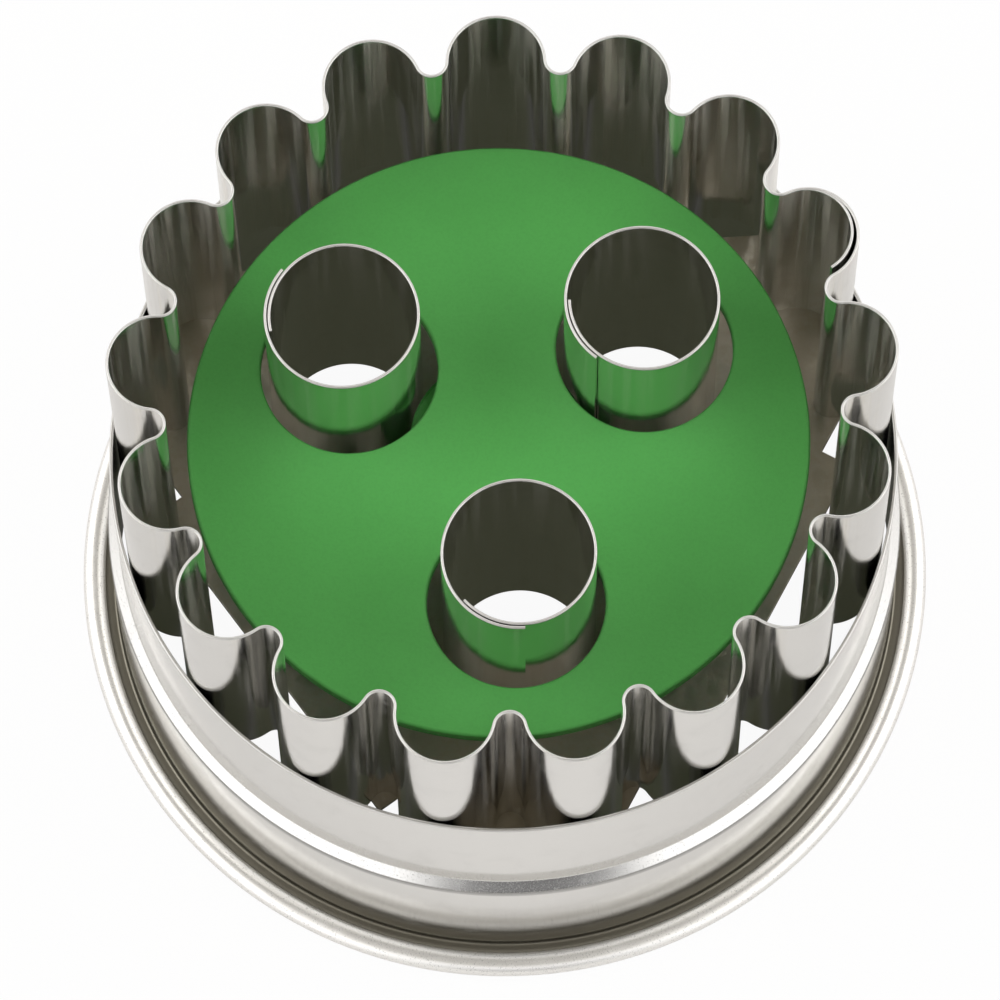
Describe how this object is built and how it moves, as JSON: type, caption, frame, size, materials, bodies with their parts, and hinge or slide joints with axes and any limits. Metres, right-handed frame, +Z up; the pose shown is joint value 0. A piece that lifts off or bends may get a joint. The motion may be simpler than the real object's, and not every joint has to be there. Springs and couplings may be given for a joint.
{
  "type": "linzer cookie cutter",
  "caption": "Round fluted biscuit cutter in bright sheet metal with round eye tubes, a stepped hand ring with a rolled foot, and a green plastic push-out plate.",
  "frame": {"origin": "middle of the rolled foot, on the plane that the foot stands on", "axes": "+Z up along the cutter's axis, cutting edges upwards as in the picture; the picture looks along +Y, so -Y faces the camera"},
  "size_m": [0.0566, 0.0566, 0.038],
  "materials": {
    "ring_metal": "bright rolled sheet, fine marks along the roll",
    "cutter_metal": "bright sheet, almost mirror-like",
    "tube_metal": "bright sheet, almost mirror-like",
    "plate_metal": "bright sheet, a little duller",
    "green_plastic": "satin moulded plastic with a fine grain",
    "pin_metal": "turned steel",
    "spring_wire": "bright spring wire"
  },
  "bodies": {
    "cutter": {"outer_ring": "ring_metal", "fluted_cutter": "cutter_metal", "eye_tube_right": "tube_metal", "eye_tube_left": "tube_metal", "eye_tube_front": "tube_metal", "base_plate": "plate_metal", "return_spring": "spring_wire"},
    "ejector": {"ejector_plate": "green_plastic", "push_pin": "pin_metal"}
  },
  "joints": [
    {"name": "eject_slide", "type": "slide", "parent": "cutter", "child": "ejector", "axis": [0, 0, 1], "range_m": [0, 0.009], "stiffness_N_per_m": 120, "springref_m": -0.003, "deforming": ["return_spring"]}
  ]
}
